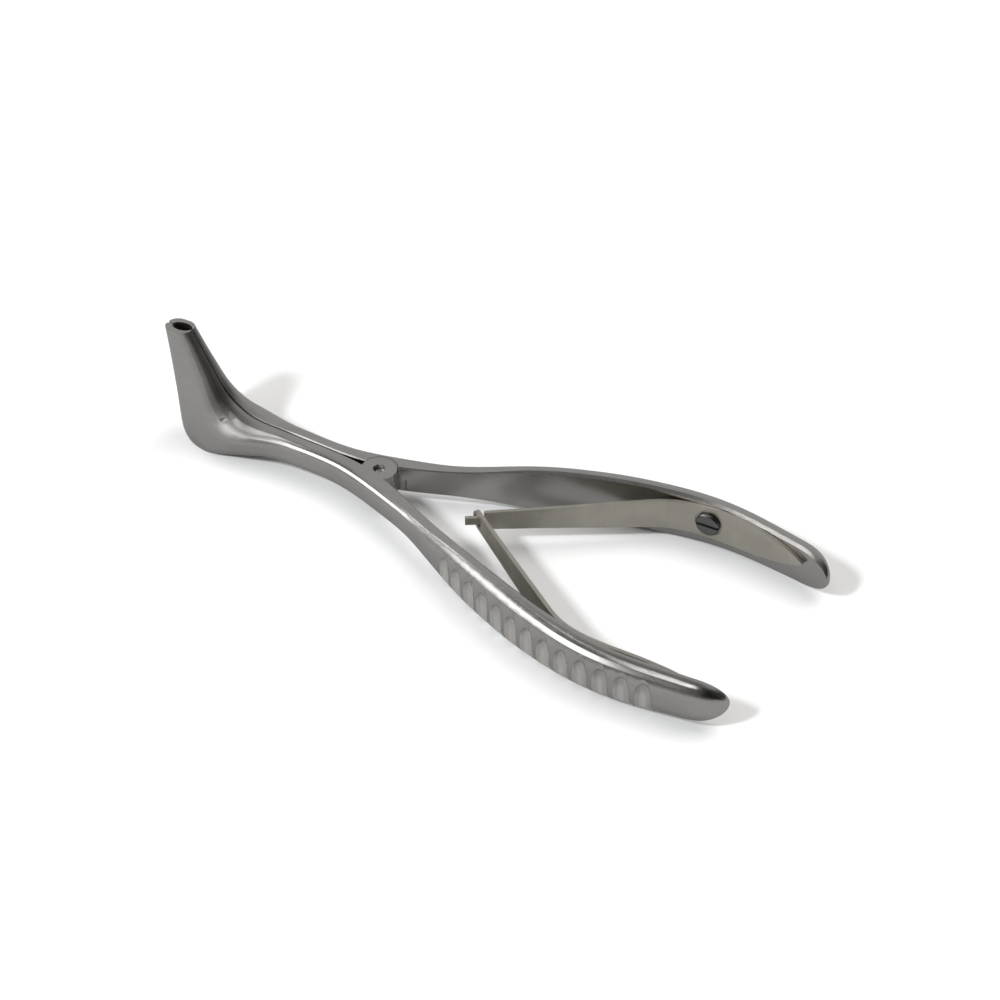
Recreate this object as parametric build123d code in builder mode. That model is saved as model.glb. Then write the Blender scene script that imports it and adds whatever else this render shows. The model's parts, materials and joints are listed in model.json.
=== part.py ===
from build123d import *
from math import cos, radians, sin, sqrt, tan
import os

# Nasal speculum, lying on its side as it rests on a table: blades up, handles along +X.
# Sizes are in millimetres. The origin is on the table, under the middle of the length,
# and the two arms mirror each other about the plane Y = 0.

# Overall reach and height
handle_reach = 103.3
blade_reach = 58.5
blade_height = 29.4
blade_front_height = 28.9
handle_height = 13.3

# Half lap joint and its screw
joint_height = 6.9
joint_thickness = 4.6
ear_radius = 4.15
ear_clearance = 0.15
lap_clearance = 0.06
relief_radius = 1.15
relief_reach = 5.0
relief_side = 2.1
screw_radius = 1.45
screw_clearance = 0.05
screw_head_radius = 2.6
screw_head_height = 1.1
screw_head_clearance = 0.08
screw_head_gap = 0.05
screw_end_recess = 0.55
screw_dome_height = 0.4
screw_slot_width = 0.4
screw_slot_depth = 0.35
screw_driver_width = 0.7
screw_driver_depth = 0.6

# Handles
inner_spread = 26.3
neck_thickness = 3.7
handle_thickness = 4.5
handle_edge = 0.6
handle_end_length = 8.0
handle_end_inset = 4.0
handle_end_round = 0.1
handle_end_blunt = 0.03

# Flutes of the grip
flute_count = 13
flute_pitch = 4.75
flute_depth = 0.45
flute_radius = 2.6
flute_to_end = 17.5

# Shank, heel and blades
split_gap = 0.3
shank_thickness = 3.8
shank_reach = 22.0
shank_edge = 0.25
bend_radius = 14.0
bend_reach = 39.9
blade_rear_lean = 30.7
blade_front_lean = 8.0
heel_radius = 6.5
heel_slope = 15.4
heel_reach = 27.0
heel_half_width = 6.7
tip_half_width = 2.3
trim = 2.0

# Sight funnel through the closed blades
mouth_length = 13.2
mouth_width = 7.6
mouth_reach = 45.6
throat_length = 8.6
throat_width = 4.8
throat_reach = 51.2
throat_height = 18.5
tip_wall = 1.2

# Leaf springs
leaf_thickness = 0.9
leaf_seat_gap = 0.12
leaf_end_height = 4.7
leaf_pad_height = 8.4
leaf_tip_to_end = 6.6
leaf_bend_to_end = 41.0
leaf_bend_length = 5.0
leaf_crossing_reach = 27.0
tongue_height = 1.9
tongue_overhang = 3.2
tongue_clearance = 0.25
slot_corner = 0.6
shoulder_setback = 1.1
slot_length = 3.6

# Spring screws
spring_screw_to_end = 31.7
spring_screw_lift = 1.1
spring_screw_radius = 1.25
spring_screw_fit = 0.01
spring_screw_clearance = 0.15
spring_screw_length = 3.0
spring_screw_runout = 0.3
spring_head_radius = 2.9
spring_head_height = 1.35
spring_head_edge = 0.55
spring_head_clearance = 0.4
spring_head_gap = 0.02
spring_seat_depth = 0.3
spring_slot_width = 0.7
spring_slot_depth = 0.7

os.makedirs("parts", exist_ok=True)

# Levels and places worked out from the sizes above
mid_height = handle_height / 2
joint_top = mid_height + joint_height / 2
joint_bottom = mid_height - joint_height / 2
lap_top = mid_height + lap_clearance / 2
lap_bottom = mid_height - lap_clearance / 2
pivot_x = (blade_reach - handle_reach) / 2
split_y = split_gap / 2
corner_arcs = 5
far_side = Vector(0, 1, 0)
up = Vector(0, 0, 1)


def at(reach, side, height):
    """A point by its reach from the pivot, its distance from the split plane and its height."""
    return Vector(pivot_x + reach, side, height)


def round_corner(centre, run, drop, start, end):
    """A quarter of an ellipse from one angle to another, as a chain of short arcs."""
    turn = radians(end - start) / corner_arcs
    pull = 4 / 3 * tan(turn / 4)
    arcs = []
    for step in range(corner_arcs):
        points = []
        for angle, side in ((radians(start) + turn * step, pull), (radians(start) + turn * (step + 1), -pull)):
            on_arc = Vector(centre[0] + run * cos(angle), centre[1] + drop * sin(angle))
            handle = on_arc + Vector(-run * sin(angle), drop * cos(angle)) * side
            points += [on_arc, handle] if side == pull else [handle, on_arc]
        arcs.append(Bezier(*points))
    return arcs


def arm_section(top, bottom, away, depth, edge, run, drop):
    """A section of an arm: flat towards the other arm, rounded on its outer side."""
    rise = (top - bottom).normalized()
    half = (top - bottom).length / 2
    outline = [
        Line((0, edge - half), (0, half - edge)),
        Line((0, half - edge), (edge, half)),
        Line((edge, half), (depth - run, half)),
        *round_corner((depth - run, half - drop), run, drop, 90, 0),
        Line((depth, half - drop), (depth, drop - half)),
        *round_corner((depth - run, drop - half), run, drop, 0, -90),
        Line((depth - run, -half), (edge, -half)),
        Line((edge, -half), (0, edge - half)),
    ]
    return Plane(origin=(top + bottom) / 2, x_dir=away, z_dir=away.cross(rise)) * Face(Wire(outline))


# Side view of the blades on the split plane: rear edge, and front edge with the heel. Both start
# beyond the tip, which is ground square later.
rear_slope = tan(radians(blade_rear_lean))
front_slope = tan(radians(blade_front_lean))
heel_fall = tan(radians(heel_slope))
tip_rear_reach = bend_reach + (blade_height - joint_top) * rear_slope
tip_rear = at(-tip_rear_reach, split_y, blade_height)
tip_front = at(-blade_reach, split_y, blade_front_height)
corner_reach = (
    blade_reach - front_slope * (blade_front_height - joint_bottom - heel_fall * heel_reach)
) / (1 + front_slope * heel_fall)
corner_height = joint_bottom - heel_fall * (corner_reach - heel_reach)
with BuildLine() as rear_edge:
    FilletPolyline(
        tip_rear + Vector(-rear_slope, 0, 1) * trim,
        at(-bend_reach, split_y, joint_top),
        at(-shank_reach, split_y, joint_top),
        radius=bend_radius,
    )
with BuildLine() as front_edge:
    FilletPolyline(
        tip_front + Vector(-front_slope, 0, 1) * trim,
        at(-corner_reach, split_y, corner_height),
        at(-heel_reach, split_y, joint_bottom),
        at(-shank_reach, split_y, joint_bottom),
        radius=(heel_radius, bend_radius),
    )

# Stations along the blade and shank, from the tip: share of the way, half width, and the
# rounded shares of the width and of the height
heel_growth = heel_half_width - tip_half_width
heel_excess = heel_half_width - shank_thickness
blade_stations = [
    (0.00, tip_half_width, 0.85, 0.78),
    (0.20, tip_half_width + 0.15 * heel_growth, 0.85, 0.78),
    (0.40, tip_half_width + 0.42 * heel_growth, 0.82, 0.76),
    (0.54, tip_half_width + 0.74 * heel_growth, 0.80, 0.74),
    (0.66, heel_half_width, 0.80, 0.74),
    (0.76, shank_thickness + 0.80 * heel_excess, 0.78, 0.74),
    (0.86, shank_thickness + 0.32 * heel_excess, 0.70, 0.72),
    (0.94, shank_thickness + 0.06 * heel_excess, 0.58, 0.70),
    (1.00, shank_thickness, 0.52, 0.68),
]
blade_steps = 12
front_lead = 1.3

# Inner side of the joint and handle, seen from above: shares of the reach and of the spread
bow_shape = [
    (0.058, 0.133),
    (0.221, 0.420),
    (0.404, 0.715),
    (0.591, 0.932),
    (0.740, 1.000),
    (0.885, 0.943),
]
bow_points = [at(-shank_reach / 2, split_y, mid_height)]
bow_points += [at(reach * handle_reach, side * inner_spread, mid_height) for reach, side in bow_shape]
bow_points.append(at(handle_reach - handle_end_round, inner_spread - handle_end_inset, mid_height))
with BuildLine() as bow_line:
    Spline(*bow_points, tangents=[(1, 0, 0), (0.96, -0.28, 0)])
bow = bow_line.edges()[0]

# Stations along the bow: share of its length, share of the rise from the joint's height to the
# handle's, thickness, width of the broken edge, and the rounded shares of thickness and height
handle_stations = [
    (0.00, 0.00, shank_thickness + 0.05, shank_edge, 0.48, 0.66),
    (0.09, 0.00, joint_thickness, shank_edge, 0.42, 0.62),
    (0.15, 0.00, 0.96 * joint_thickness, shank_edge, 0.42, 0.62),
    (0.22, 0.02, neck_thickness, shank_edge, 0.46, 0.62),
    (0.29, 0.22, neck_thickness, shank_edge, 0.52, 0.62),
    (0.33, 0.44, 0.95 * neck_thickness, handle_edge / 2, 0.60, 0.64),
    (0.39, 0.74, 0.92 * handle_thickness, handle_edge, 0.66, 0.66),
    (0.47, 0.94, 0.94 * handle_thickness, handle_edge, 0.70, 0.66),
    (0.56, 1.00, handle_thickness, handle_edge, 0.72, 0.66),
    (0.74, 0.86, handle_thickness, handle_edge, 0.72, 0.66),
    (0.90, 0.62, 0.94 * handle_thickness, handle_edge, 0.72, 0.66),
    (1.00, 0.48, 0.88 * handle_thickness, handle_edge, 0.72, 0.66),
]
bow_steps = 20
end_crowding = 1.6


def between(stations, share):
    """Sizes at a share of the way, on a smooth cubic curve through the stations."""
    index = max(i for i in range(len(stations) - 1) if stations[i][0] <= share)
    here, there = stations[index], stations[index + 1]
    before = stations[max(index - 1, 0)]
    after = stations[min(index + 2, len(stations) - 1)]
    span = there[0] - here[0]
    t = (share - here[0]) / span
    sizes = []
    for p, q, r, s in zip(before[1:], here[1:], there[1:], after[1:]):
        leave = span * (r - p) / (there[0] - before[0])
        arrive = span * (s - q) / (after[0] - here[0])
        sizes.append(
            q + t * leave + t * t * (3 * (r - q) - 2 * leave - arrive)
            + t * t * t * (2 * (q - r) + leave + arrive)
        )
    return sizes


def outward(share):
    """The level direction out of the bow, away from the other arm."""
    along = bow % share
    return Vector(-along.Y, along.X, 0)


def blade_section(share):
    """A section that fans round the bend, from the rear edge to the front edge."""
    half_width, run_share, drop_share = between(blade_stations, share)
    rear = rear_edge.wire() @ share
    front = front_edge.wire() @ (share**front_lead)
    drop = drop_share * (rear - front).length / 2
    return arm_section(rear, front, far_side, half_width, shank_edge, run_share * half_width, drop)


def bow_section(share):
    """A section square to the bow, closing in an ellipse at the end of the handle."""
    rise, depth, edge, run_share, drop_share = between(handle_stations, share)
    height = joint_height + rise * (handle_height - joint_height)
    to_end = max((1 - share) * bow.length, handle_end_blunt)
    into_end = max(1 - to_end / handle_end_length, 0)
    taper = sqrt(1 - into_end * into_end)
    lift = up * (height * taper / 2)
    return arm_section(
        bow @ share + lift,
        bow @ share - lift,
        outward(share),
        depth * taper,
        edge * taper,
        run_share * depth * taper,
        drop_share * height * taper / 2,
    )


arm_sections = [blade_section(step / blade_steps) for step in range(blade_steps + 1)]
arm_sections += [bow_section(1 - (1 - step / bow_steps) ** end_crowding) for step in range(bow_steps + 1)]

# Forged blank of one arm: blade, shank and handle in one smooth body, with the blade's tip, the
# heel's underside and the face towards the other arm ground flat
tip_plane = Plane(origin=tip_rear, x_dir=(0, 1, 0), z_dir=(tip_rear - tip_front).cross(far_side))
grinding_size = 2 * handle_reach
with BuildPart() as arm_blank:
    loft(sections=arm_sections, clean=False)
    for ground in (tip_plane, -Plane.XY, Plane.XZ.offset(-split_y)):
        with BuildSketch(ground):
            Rectangle(grinding_size, grinding_size)
        extrude(amount=blade_height, mode=Mode.SUBTRACT)

# Sight funnel that the closed blades form, wide at the mouth and narrow at the tips
funnel_rings = [
    (-trim, mouth_reach, mouth_length, mouth_width),
    (throat_height, throat_reach, throat_length, throat_width),
    (
        blade_height + trim,
        (blade_reach + tip_rear_reach) / 2,
        blade_reach - tip_rear_reach - 2 * tip_wall,
        2 * (split_y + tip_half_width - tip_wall),
    ),
]
with BuildPart() as sight_funnel:
    for height, reach, length, width in funnel_rings:
        with BuildSketch(Plane(origin=at(-reach, 0, height))):
            Ellipse(length / 2, width / 2)
    loft()

# Scallops along the outer side of the grip
with BuildPart() as grip_flutes:
    for step in range(flute_count):
        share = 1 - (flute_to_end + step * flute_pitch) / bow.length
        thickness = between(handle_stations, share)[1]
        axis = bow @ share + outward(share) * (thickness + flute_radius - flute_depth)
        with Locations(axis):
            Cylinder(flute_radius, 2 * handle_height)

# Spring screws stand square on the inner side of the handles
screw_share = 1 - spring_screw_to_end / bow.length
screw_plane = Plane(
    origin=bow @ screw_share + up * spring_screw_lift,
    x_dir=bow % screw_share,
    z_dir=-outward(screw_share),
)

# One arm with its funnel half, grip and spring screw hole, before the joint is cut
with BuildPart() as arm_forging:
    add(arm_blank.part)
    add(sight_funnel.part, mode=Mode.SUBTRACT)
    add(grip_flutes.part, mode=Mode.SUBTRACT)
    with BuildSketch(screw_plane):
        Circle(spring_screw_radius + spring_screw_fit)
    extrude(amount=-spring_screw_length - spring_screw_runout, mode=Mode.SUBTRACT)


def upright(radius, low, high, reach=0, side=0, mode=Mode.SUBTRACT):
    """A cylinder between two heights, in the part that is being built."""
    with Locations(at(reach, side, (low + high) / 2)):
        Cylinder(radius, high - low, mode=mode)


# Near arm: upper ear over a pocket for the far ear, with the end of the screw sunk in its top
with BuildPart() as near_arm:
    add(mirror(arm_forging.part, about=Plane.XZ))
    upright(ear_radius, lap_top, joint_top, mode=Mode.ADD)
    upright(ear_radius + ear_clearance, joint_bottom - trim, lap_top)
    upright(relief_radius, lap_top, joint_top + trim, relief_reach, -relief_side)
    upright(screw_radius, lap_top - trim, joint_top + trim)
    near_arm.part.label = "near_arm"

# Far arm: lower ear under a pocket for the near ear, with the head of the screw sunk in its base
head_seat = joint_bottom + screw_head_height + screw_head_gap
with BuildPart() as far_arm:
    add(arm_forging.part)
    upright(ear_radius, joint_bottom, lap_bottom, mode=Mode.ADD)
    upright(ear_radius + ear_clearance, lap_bottom, joint_top + trim)
    upright(relief_radius, joint_bottom - trim, lap_bottom, relief_reach, relief_side)
    upright(screw_radius + screw_clearance, joint_bottom - trim, lap_bottom + trim)
    upright(screw_head_radius + screw_head_clearance, joint_bottom - trim, head_seat)
    far_arm.part.label = "far_arm"

# Pivot screw: a turned pin with a slotted flush head below and a domed, slotted end above
screw_end = joint_top - screw_end_recess
screw_shoulder = joint_bottom + screw_head_height
with BuildPart() as pivot_screw:
    with BuildSketch(Plane(origin=at(0, 0, 0), x_dir=(1, 0, 0), z_dir=(0, -1, 0))):
        with BuildLine():
            Line((0, screw_end), (0, joint_bottom))
            Line((0, joint_bottom), (screw_head_radius, joint_bottom))
            Line((screw_head_radius, joint_bottom), (screw_head_radius, screw_shoulder))
            Line((screw_head_radius, screw_shoulder), (screw_radius, screw_shoulder))
            Line((screw_radius, screw_shoulder), (screw_radius, screw_end - screw_dome_height))
            SagittaArc(
                (screw_radius, screw_end - screw_dome_height),
                (0, screw_end),
                -screw_dome_height / 4,
            )
        make_face()
    revolve(axis=Axis(at(0, 0, 0), up))
    with Locations(at(0, 0, screw_end)):
        Box(2 * ear_radius, screw_slot_width, 2 * screw_slot_depth, mode=Mode.SUBTRACT)
    with Locations(at(0, 0, joint_bottom)):
        Box(2 * ear_radius, screw_driver_width, 2 * screw_driver_depth, mode=Mode.SUBTRACT)
    pivot_screw.part.label = "pivot_screw"

# Middle line of a leaf spring: straight from its free end up to a bend, then along its handle
leaf_crossing = at(leaf_crossing_reach, 0, mid_height)
seat_offset = leaf_seat_gap + leaf_thickness / 2


def seat_point(to_end):
    """A point of the leaf's middle line on the handle, by its distance from the handle's end."""
    seat_share = 1 - to_end / bow.length
    return bow @ seat_share - outward(seat_share) * seat_offset


leaf_bend = seat_point(leaf_bend_to_end)
leaf_along = (leaf_bend - leaf_crossing).normalized()
seat_start = leaf_bend_to_end - leaf_bend_length
seat_steps = 5
seat_points = [
    seat_point(seat_start + (leaf_tip_to_end - seat_start) * step / seat_steps) for step in range(seat_steps + 1)
]
leaf_lift = leaf_bend - leaf_along * leaf_bend_length
with BuildLine() as leaf_line:
    Line(leaf_crossing - leaf_along * (tongue_overhang + trim), leaf_lift)
    Spline(leaf_lift, *seat_points, tangents=[leaf_along, bow % (1 - leaf_tip_to_end / bow.length)])

# Side view of a leaf: shares of the way from the crossing to the tip, and of the pad's height
leaf_shape = [
    (0.337, 0.79),
    (0.547, 0.945),
    (0.700, 1.00),
    (0.800, 0.95),
    (0.884, 0.72),
    (0.954, 0.40),
]
leaf_path = leaf_line.wire()
leaf_run = (leaf_path @ 1).X - leaf_crossing.X
leaf_start = Vector(0, leaf_end_height / 2)
leaf_upper = [leaf_start]
leaf_upper += [Vector(share * leaf_run, height * leaf_pad_height / 2) for share, height in leaf_shape]
leaf_upper.append(Vector(leaf_run, 0))

# The side view rises slightly from the crossing, so that the pad is centred on its screw
to_screw = screw_plane.origin - leaf_crossing
leaf_side = Plane(origin=leaf_crossing, x_dir=(to_screw.X, 0, to_screw.Z), z_dir=(0, -1, 0))
with BuildPart() as leaf_blank:
    with BuildSketch(Plane(origin=leaf_path @ 0, x_dir=(0, 0, 1), z_dir=leaf_path % 0)):
        Rectangle(handle_height, leaf_thickness)
    sweep(path=leaf_path)
    with BuildSketch(leaf_side):
        with BuildLine() as upper:
            Line(leaf_start - Vector(handle_height, 0), leaf_start)
            Spline(*leaf_upper)
            mirror(about=Plane.XZ)
            Line(upper.vertices().sort_by(Axis.X)[0], upper.vertices().sort_by(Axis.X)[1])
        make_face()
    extrude(amount=handle_reach, both=True, mode=Mode.INTERSECT)

# Both leaves are cut to length in the plane of their straight stretch
leaf_end_plane = Plane(origin=leaf_crossing, x_dir=-leaf_along, z_dir=leaf_along.cross(up))
seat_floor = leaf_seat_gap + leaf_thickness - spring_seat_depth
with BuildPart() as leaf:
    add(leaf_blank.part)
    with BuildSketch(screw_plane):
        Circle(spring_screw_radius + spring_screw_clearance)
    extrude(amount=leaf_seat_gap + leaf_thickness + trim, mode=Mode.SUBTRACT)
    with BuildSketch(screw_plane.offset(seat_floor)):
        Circle(spring_head_radius + spring_head_clearance)
    extrude(amount=trim, mode=Mode.SUBTRACT)

# Near spring: round free end with a slot for the far spring's tongue
with BuildPart() as slotted_leaf:
    add(leaf.part)
    with BuildSketch(leaf_end_plane):
        with Locations((handle_height / 2, 0)):
            Rectangle(handle_height, handle_height)
        Circle(leaf_end_height / 2, mode=Mode.SUBTRACT)
        RectangleRounded(slot_length, tongue_height + 2 * tongue_clearance, slot_corner)
    extrude(amount=leaf_thickness, both=True, mode=Mode.SUBTRACT)
with BuildPart() as near_spring:
    add(mirror(slotted_leaf.part, about=Plane.XZ))
    near_spring.part.label = "near_spring"

# Far spring: shoulders just before the crossing, and a tongue that runs through the slot
with BuildPart() as far_spring:
    add(leaf.part)
    with BuildSketch(leaf_end_plane):
        with Locations((handle_height / 2 - shoulder_setback, 0)):
            Rectangle(handle_height, handle_height)
        with Locations((tongue_overhang / 2 - shoulder_setback, 0)):
            Rectangle(tongue_overhang + 2 * shoulder_setback, tongue_height, mode=Mode.SUBTRACT)
    extrude(amount=leaf_thickness, both=True, mode=Mode.SUBTRACT)
    far_spring.part.label = "far_spring"

# Spring screws: shank in the handle, domed slotted head in the seat of the leaf
head_base = seat_floor + spring_head_gap
screw_axis = Axis(screw_plane.origin, screw_plane.z_dir)
with BuildPart() as far_spring_screw:
    with BuildSketch(screw_plane.offset(head_base)):
        Circle(spring_screw_radius)
    extrude(amount=-spring_screw_length - head_base)
    with BuildSketch(screw_plane.offset(head_base)):
        Circle(spring_head_radius)
    extrude(amount=spring_head_height)
    fillet(far_spring_screw.faces().filter_by(GeomType.PLANE).sort_by(screw_axis)[-1].edges(), spring_head_edge)
    with BuildSketch(screw_plane.offset(head_base + spring_head_height)):
        Rectangle(3 * spring_head_radius, spring_slot_width)
    extrude(amount=-spring_slot_depth, mode=Mode.SUBTRACT)
    far_spring_screw.part.label = "far_spring_screw"
with BuildPart() as near_spring_screw:
    add(mirror(far_spring_screw.part, about=Plane.XZ))
    near_spring_screw.part.label = "near_spring_screw"

pieces = (near_arm, far_arm, pivot_screw, near_spring, far_spring, near_spring_screw, far_spring_screw)
for piece in pieces:
    export_step(piece.part, f"parts/{piece.part.label}.step")
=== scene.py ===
import json
import math

import bmesh
import bpy
from mathutils import Matrix, Vector


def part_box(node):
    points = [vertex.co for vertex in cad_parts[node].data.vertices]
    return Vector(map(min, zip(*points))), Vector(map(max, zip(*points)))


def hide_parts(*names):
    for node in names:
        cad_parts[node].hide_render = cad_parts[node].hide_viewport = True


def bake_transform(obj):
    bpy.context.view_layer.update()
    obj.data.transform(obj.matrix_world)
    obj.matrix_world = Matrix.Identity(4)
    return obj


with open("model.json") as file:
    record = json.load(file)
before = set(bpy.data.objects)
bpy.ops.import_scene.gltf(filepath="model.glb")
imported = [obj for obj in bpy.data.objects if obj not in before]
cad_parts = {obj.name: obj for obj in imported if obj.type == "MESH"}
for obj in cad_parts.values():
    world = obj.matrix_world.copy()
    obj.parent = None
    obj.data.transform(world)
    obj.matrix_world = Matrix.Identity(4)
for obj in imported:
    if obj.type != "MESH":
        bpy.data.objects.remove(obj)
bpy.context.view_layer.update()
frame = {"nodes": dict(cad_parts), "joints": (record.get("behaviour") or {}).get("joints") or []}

# Nasal speculum on a white table. Everything is in metres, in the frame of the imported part.
joints = {joint["name"]: joint for joint in frame["joints"]}
pivot = Vector(joints["arm_pivot"]["pos_m"])

# Camera: azimuth, elevation and roll of the view in degrees, its lens and sensor in millimetres,
# its distance from a point above the joint's pivot, how far above the pivot that point lies, and
# where it lands in the picture, across from the left and down from the top
CAMERA_AZIMUTH = 32.2
CAMERA_ELEVATION = 39.8
CAMERA_ROLL = -0.21
CAMERA_LENS = 102.5
SENSOR_WIDTH = 36.0
CAMERA_DISTANCE = 0.650
PIVOT_RISE = 0.00343
PICTURE_SIZE = 1000
PIVOT_ACROSS = 379.2
PIVOT_DOWN = 468.4

# Steel: its colours, and the angle above which an edge stays crisp
ARM_COLOUR = (0.55, 0.535, 0.515)
LEAF_COLOUR = (0.64, 0.61, 0.54)
SCREW_COLOUR = (0.20, 0.20, 0.20)
CRISP_ANGLE = math.radians(24)

# Brush lines: width and length of the fine ones, how many times wider and longer the coarse ones
# are and where in the noise they start, the share of each, how much they change the shade, and
# the strength and height of their bump
BRUSH_WIDTH = 0.00022
BRUSH_LENGTH = 0.012
COARSE_WIDTH = 4
COARSE_LENGTH = 2.5
COARSE_SEED = 7.3
FINE_SHARE = 0.65
COARSE_SHARE = 0.35
BRUSH_SHADE = 0.22
BRUSH_BUMP = 0.12
BRUSH_RELIEF = 0.00006

# Cloudy stains: how many there are to a metre, and how much rougher they make the steel
STAIN_SCALE = 140.0
STAIN_ROUGHNESS = 0.06

# Matt blades: where along X the matt finish begins and is full, and how much rougher it is
MATT_START = -0.036
MATT_FULL = -0.058
MATT_ROUGHNESS = 0.13

# Scallops of the grip: how many there are, the place along X of the one nearest the handle's end,
# their pitch along the curved handle, and where the handle runs straight along X and how fast it
# bends away from there
FLUTE_COUNT = 13
FLUTE_LAST = 0.06417
FLUTE_PITCH = 0.00502
HANDLE_PEAK = 0.057
HANDLE_BEND = 12.0

# Shape and finish of a scallop: half its width as a share of the pitch, the height at which its
# round top begins and how tall that top is, its depth in the bump, how fast its finish sets in
# from the rim, how much lighter and rougher it is, and how far the surface has to face outward
FLUTE_HALF_WIDTH = 0.40
FLUTE_SHOULDER = 0.0056
FLUTE_CROWN = 0.0038
FLUTE_RELIEF = 0.0012
FLUTE_RIM = 6.0
FLUTE_SHADE = 0.6
FLUTE_ROUGHNESS = 0.22
FLUTE_FACING = 0.3

# Leaf springs: a leaf bends only near its seat; its mesh is cut into this many short lengths along X
LEAF_CUTS = 96

# Table: half its width, its colour, and its darker colour in the steel's reflections
FLOOR_REACH = 3
FLOOR_COLOUR = 0.86
FLOOR_MIRRORED = 0.34

# Tent round the table, for the steel to mirror: how bright it is behind and in front, and how
# much darker on the +X side and overhead
TENT_BACK = 0.44
TENT_FRONT = 0.12
TENT_DARK = 0.10
TENT_TOP = 0.35

# Bright cards in the tent: azimuth, elevation, inner and outer half angle in degrees, strength
CARDS = (
    (-152, 24, 7, 21, 2.2),
    (-122, 26, 7, 21, 2.4),
    (-95, 70, 4, 12, 2.6),
    (175, 36, 4, 12, 1.6),
    (-172, 66, 3, 10, 3.0),
)

# Lamps: name, azimuth and elevation in degrees, width, power in watts and colour
LAMP_DISTANCE = 1.2
LAMPS = (
    ("key", -113, 45, 0.16, 9.5, (0.97, 0.985, 1.0)),
    ("overhead", 60, 62, 1.0, 9.5, (1.0, 0.985, 0.96)),
)


def add_camera():
    """The photograph's camera, placed so that the point above the pivot lands where it should."""
    azimuth = math.radians(CAMERA_AZIMUTH)
    elevation = math.radians(CAMERA_ELEVATION)
    roll = math.radians(CAMERA_ROLL)
    back = Vector((
        math.sin(azimuth) * math.cos(elevation),
        -math.cos(azimuth) * math.cos(elevation),
        math.sin(elevation),
    ))
    level_right = Vector((math.cos(azimuth), math.sin(azimuth), 0))
    level_up = back.cross(level_right)
    right = level_right * math.cos(roll) + level_up * math.sin(roll)
    upward = level_up * math.cos(roll) - level_right * math.sin(roll)
    focal = CAMERA_LENS / SENSOR_WIDTH * PICTURE_SIZE
    across = (PIVOT_ACROSS - PICTURE_SIZE / 2) / focal
    rise = (PICTURE_SIZE / 2 - PIVOT_DOWN) / focal
    target = pivot + Vector((0, 0, PIVOT_RISE))
    place = target - (right * across + upward * rise - back) * CAMERA_DISTANCE
    data = bpy.data.cameras.new("camera")
    data.lens = CAMERA_LENS
    data.sensor_width = SENSOR_WIDTH
    data.clip_start = 0.01
    camera = bpy.data.objects.new("camera", data)
    turn = Matrix((right, upward, back)).transposed().to_4x4()
    camera.matrix_world = Matrix.Translation(place) @ turn
    bpy.context.scene.collection.objects.link(camera)
    bpy.context.scene.camera = camera


class Nodes:
    """Adds shader nodes to a tree and links them by socket names."""

    def __init__(self, tree):
        self.tree = tree

    def link(self, value, socket):
        self.tree.links.new(value, socket)

    def add(self, kind, inputs=None, **settings):
        """A new node's first output. The inputs are numbers, or sockets to link."""
        node = self.tree.nodes.new(kind)
        for name, value in settings.items():
            setattr(node, name, value)
        for name, value in (inputs or {}).items():
            if isinstance(value, bpy.types.NodeSocket):
                self.link(value, node.inputs[name])
            else:
                node.inputs[name].default_value = value
        return node.outputs[0]

    def math(self, operation, first, second=0.0, clamp=False):
        return self.add("ShaderNodeMath", {0: first, 1: second}, operation=operation, use_clamp=clamp)

    def coordinates(self, kind):
        return self.add("ShaderNodeTexCoord").node.outputs[kind]

    def parts(self, vector):
        """A vector's X, Y and Z."""
        return self.add("ShaderNodeSeparateXYZ", {"Vector": vector}).node.outputs

    def ramp(self, value, stops):
        """A smooth value from 0 to 1 between stops, as (place, grey) pairs."""
        ramp = self.add("ShaderNodeValToRGB", {0: value})
        elements = ramp.node.color_ramp.elements
        for element, (place, grey) in ((elements[0], stops[0]), (elements[-1], stops[-1])):
            element.position = place
            element.color = (grey, grey, grey, 1)
        for place, grey in stops[1:-1]:
            elements.new(place).color = (grey, grey, grey, 1)
        return ramp

    def streaks(self, along, width, length, seed):
        """Noise drawn out along one axis, as brushing leaves it."""
        mapped = self.add("ShaderNodeMapping", {
            "Vector": self.coordinates("Object"),
            "Location": (seed, seed, seed),
            "Scale": [1 / length if axis == along else 1 / width for axis in "XYZ"],
        })
        return self.add("ShaderNodeTexNoise", {
            "Vector": mapped, "Scale": 1.0, "Detail": 3.0, "Roughness": 0.6,
        })


def new_material(name):
    """A new material, a maker of its nodes, and its shader."""
    material = bpy.data.materials.new(name)
    material.use_nodes = True
    tree = material.node_tree
    return material, Nodes(tree), tree.nodes["Principled BSDF"]


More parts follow.
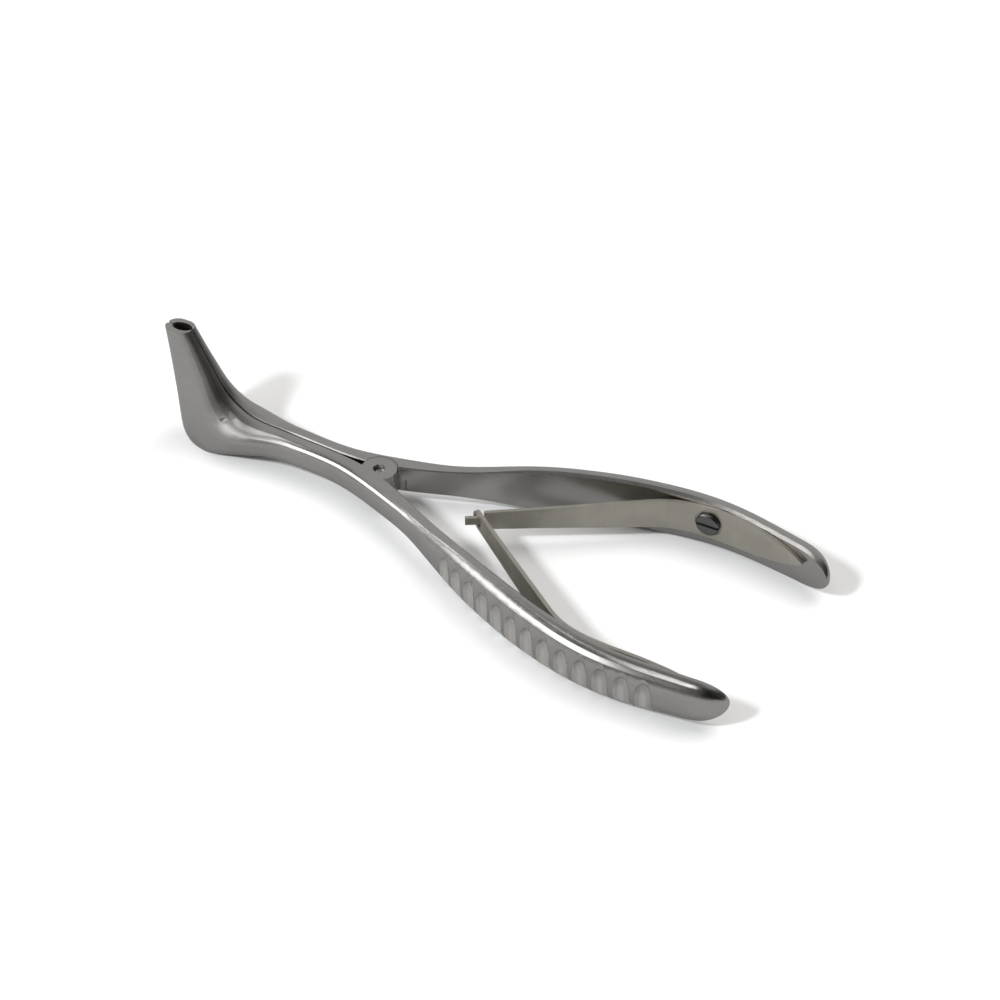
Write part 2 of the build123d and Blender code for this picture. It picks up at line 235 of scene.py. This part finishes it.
def flute_depth(nodes):
    """How deep a point lies in a scallop of the grip, from 0 at its rim to 1 in its middle."""
    place = nodes.parts(nodes.coordinates("Object"))
    normal = nodes.parts(nodes.coordinates("Normal"))
    bend = HANDLE_BEND ** 2 / 6
    from_peak = nodes.math("POWER", nodes.math("SUBTRACT", place["X"], HANDLE_PEAK), 3.0)
    along = nodes.math("ADD", place["X"], nodes.math("MULTIPLY", from_peak, bend))
    last = FLUTE_LAST + bend * (FLUTE_LAST - HANDLE_PEAK) ** 3
    count = nodes.math("DIVIDE", nodes.math("SUBTRACT", last, along), FLUTE_PITCH)
    turn = nodes.math("ADD", count, 0.5)
    across = nodes.math("ABSOLUTE", nodes.math("SUBTRACT", nodes.math("FRACT", turn), 0.5))
    above = nodes.math("MAXIMUM", nodes.math("SUBTRACT", place["Z"], FLUTE_SHOULDER), 0.0)
    wide = nodes.math("POWER", nodes.math("DIVIDE", across, FLUTE_HALF_WIDTH), 2.0)
    high = nodes.math("POWER", nodes.math("DIVIDE", above, FLUTE_CROWN), 2.0)
    depth = nodes.math("SUBTRACT", 1.0, nodes.math("ADD", wide, high), clamp=True)
    outward = nodes.math("MULTIPLY", normal["Y"], nodes.math("SIGN", place["Y"]))
    for limit in (
        nodes.math("GREATER_THAN", outward, FLUTE_FACING),
        nodes.math("GREATER_THAN", turn, 0.0),
        nodes.math("LESS_THAN", turn, float(FLUTE_COUNT)),
    ):
        depth = nodes.math("MULTIPLY", depth, limit)
    return depth


def steel(name, colour, roughness, along, brush=1.0, stain=0.12, spread=0.10, arm=False):
    """Brushed steel: fine and coarse lines along one axis, and faint cloudy stains.

    An arm's steel also has matt blades and a scalloped grip.
    """
    material, nodes, shader = new_material(name)
    fine = nodes.streaks(along, BRUSH_WIDTH, BRUSH_LENGTH, 0.0)
    coarse = nodes.streaks(along, BRUSH_WIDTH * COARSE_WIDTH, BRUSH_LENGTH * COARSE_LENGTH, COARSE_SEED)
    cloud = nodes.add("ShaderNodeTexNoise", {
        "Vector": nodes.coordinates("Object"), "Scale": STAIN_SCALE, "Detail": 4.0,
    })
    lines = nodes.math(
        "ADD", nodes.math("MULTIPLY", fine, FINE_SHARE), nodes.math("MULTIPLY", coarse, COARSE_SHARE)
    )
    shade = nodes.math("MULTIPLY", lines, BRUSH_SHADE * brush)
    shade = nodes.math("ADD", shade, nodes.math("MULTIPLY", cloud, stain))
    shade = nodes.math("ADD", shade, 1.0 - BRUSH_SHADE / 2 * brush - stain / 2)
    rough = nodes.math("ADD", nodes.math("MULTIPLY", lines, spread), roughness - spread / 2)
    rough = nodes.math("ADD", rough, nodes.math("MULTIPLY", cloud, STAIN_ROUGHNESS))
    bump = nodes.add("ShaderNodeBump", {
        "Height": lines, "Strength": BRUSH_BUMP * brush, "Distance": BRUSH_RELIEF,
    })
    if arm:
        matt = nodes.add("ShaderNodeMapRange", {
            "Value": nodes.parts(nodes.coordinates("Object"))["X"],
            "From Min": MATT_FULL,
            "From Max": MATT_START,
            "To Min": MATT_ROUGHNESS,
            "To Max": 0.0,
        })
        rough = nodes.math("ADD", rough, matt)
        depth = flute_depth(nodes)
        scalloped = nodes.math("MULTIPLY", depth, FLUTE_RIM, clamp=True)
        shade = nodes.math("ADD", shade, nodes.math("MULTIPLY", scalloped, FLUTE_SHADE))
        rough = nodes.math("ADD", rough, nodes.math("MULTIPLY", scalloped, FLUTE_ROUGHNESS))
        bump = nodes.add("ShaderNodeBump", {
            "Height": depth, "Strength": 1.0, "Distance": FLUTE_RELIEF, "Normal": bump,
        }, invert=True)
    tint = nodes.add("ShaderNodeVectorMath", {0: colour, 1: shade}, operation="MULTIPLY")
    nodes.link(tint, shader.inputs["Base Color"])
    nodes.link(rough, shader.inputs["Roughness"])
    nodes.link(bump, shader.inputs["Normal"])
    shader.inputs["Metallic"].default_value = 1.0
    return material


def finish_mesh(mesh, material):
    """Gives a mesh its material, smooth faces and crisp edges."""
    mesh.materials.clear()
    mesh.materials.append(material)
    for polygon in mesh.polygons:
        polygon.use_smooth = True
    mesh.set_sharp_from_angle(angle=CRISP_ANGLE)


def add_leaf(side, material):
    """A leaf spring's mesh, cut into short lengths along X, in place of the solid of the same shape."""
    node = f"{side}_spring"
    low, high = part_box(node)
    mesh = bpy.data.meshes.new(f"{side}_leaf")
    form = bmesh.new()
    form.from_mesh(frame["nodes"][node].data)
    step = (high[0] - low[0]) / LEAF_CUTS
    for cut in range(1, LEAF_CUTS):
        bmesh.ops.bisect_plane(
            form,
            geom=form.verts[:] + form.edges[:] + form.faces[:],
            plane_co=(low[0] + cut * step, 0, 0),
            plane_no=(1, 0, 0),
        )
    form.to_mesh(mesh)
    form.free()
    leaf = bpy.data.objects.new(f"{side}_leaf", mesh)
    bpy.context.scene.collection.objects.link(leaf)
    finish_mesh(mesh, material)
    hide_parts(node)
    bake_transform(leaf)


def add_floor():
    """A white table that looks darker in the steel's reflections than to the camera."""
    corners = [(-FLOOR_REACH, -FLOOR_REACH, 0), (FLOOR_REACH, -FLOOR_REACH, 0)]
    corners += [(FLOOR_REACH, FLOOR_REACH, 0), (-FLOOR_REACH, FLOOR_REACH, 0)]
    mesh = bpy.data.meshes.new("floor")
    mesh.from_pydata(corners, [], [(0, 1, 2, 3)])
    floor = bpy.data.objects.new("floor", mesh)
    bpy.context.scene.collection.objects.link(floor)
    material, nodes, shader = new_material("floor")
    mirrored = nodes.add("ShaderNodeLightPath").node.outputs["Is Glossy Ray"]
    shade = nodes.math("MULTIPLY", mirrored, FLOOR_MIRRORED - FLOOR_COLOUR)
    shade = nodes.math("ADD", shade, FLOOR_COLOUR)
    nodes.link(shade, shader.inputs["Base Color"])
    shader.inputs["Roughness"].default_value = 1.0
    shader.inputs["Specular IOR Level"].default_value = 0.0
    mesh.materials.append(material)


def toward(azimuth, elevation):
    """A direction from its azimuth and elevation in degrees."""
    turn = math.radians(azimuth)
    rise = math.radians(elevation)
    return Vector((math.cos(turn) * math.cos(rise), math.sin(turn) * math.cos(rise), math.sin(rise)))


def add_tent():
    """The surroundings: a grey tent, dark on the +X side and overhead, with bright cards in it."""
    world = bpy.data.worlds.new("world")
    world.use_nodes = True
    nodes = Nodes(world.node_tree)
    direction = nodes.coordinates("Generated")
    parts = nodes.parts(direction)
    behind = nodes.math("ADD", nodes.math("MULTIPLY", parts["Y"], 0.5), 0.5)
    depth = nodes.ramp(behind, [(0.0, TENT_FRONT), (0.42, TENT_FRONT), (0.60, TENT_BACK), (1.0, TENT_BACK)])
    right = nodes.ramp(parts["X"], [(0.0, 1.0), (0.25, 1.0), (0.6, TENT_DARK), (1.0, TENT_DARK)])
    top = nodes.ramp(parts["Z"], [(0.0, 1.0), (0.75, 1.0), (0.92, TENT_TOP), (1.0, TENT_TOP)])
    light = nodes.math("MULTIPLY", nodes.math("MULTIPLY", depth, right), top)
    for azimuth, elevation, inner, outer, strength in CARDS:
        cosine = nodes.add(
            "ShaderNodeVectorMath", {0: direction, 1: toward(azimuth, elevation)}, operation="DOT_PRODUCT"
        ).node.outputs["Value"]
        edge = nodes.add("ShaderNodeMapRange", {
            "Value": cosine,
            "From Min": math.cos(math.radians(outer)),
            "From Max": math.cos(math.radians(inner)),
        }, interpolation_type="SMOOTHSTEP")
        light = nodes.math("ADD", light, nodes.math("MULTIPLY", edge, strength))
    background = world.node_tree.nodes["Background"]
    nodes.link(light, background.inputs["Color"])
    background.inputs["Strength"].default_value = 1.0
    bpy.context.scene.world = world


def add_lamp(name, direction, width, power, colour):
    """A soft square lamp that lights the table, and that the polished steel doesn't mirror."""
    data = bpy.data.lights.new(name, "AREA")
    data.shape = "SQUARE"
    data.size = width
    data.energy = power
    data.color = colour
    lamp = bpy.data.objects.new(name, data)
    lamp.location = direction * LAMP_DISTANCE
    lamp.rotation_euler = (-direction).to_track_quat("-Z", "Y").to_euler()
    lamp.visible_glossy = False
    bpy.context.scene.collection.objects.link(lamp)


add_camera()
arm_steel = steel("arm_steel", ARM_COLOUR, 0.20, "X", brush=1.7, stain=0.2, arm=True)
leaf_steel = steel("leaf_steel", LEAF_COLOUR, 0.40, "Z", brush=1.2, stain=0.45, spread=0.12)
screw_steel = steel("screw_steel", SCREW_COLOUR, 0.20, "X", brush=0.5, stain=0.2)
pivot_steel = steel("pivot_steel", ARM_COLOUR, 0.22, "X", brush=0.5)
for side in ("near", "far"):
    finish_mesh(frame["nodes"][f"{side}_arm"].data, arm_steel)
    finish_mesh(frame["nodes"][f"{side}_spring_screw"].data, screw_steel)
    add_leaf(side, leaf_steel)
finish_mesh(frame["nodes"]["pivot_screw"].data, pivot_steel)
add_floor()
add_tent()
for name, azimuth, elevation, width, power, colour in LAMPS:
    add_lamp(name, toward(azimuth, elevation), width, power, colour)
bpy.context.scene.view_settings.view_transform = "Standard"
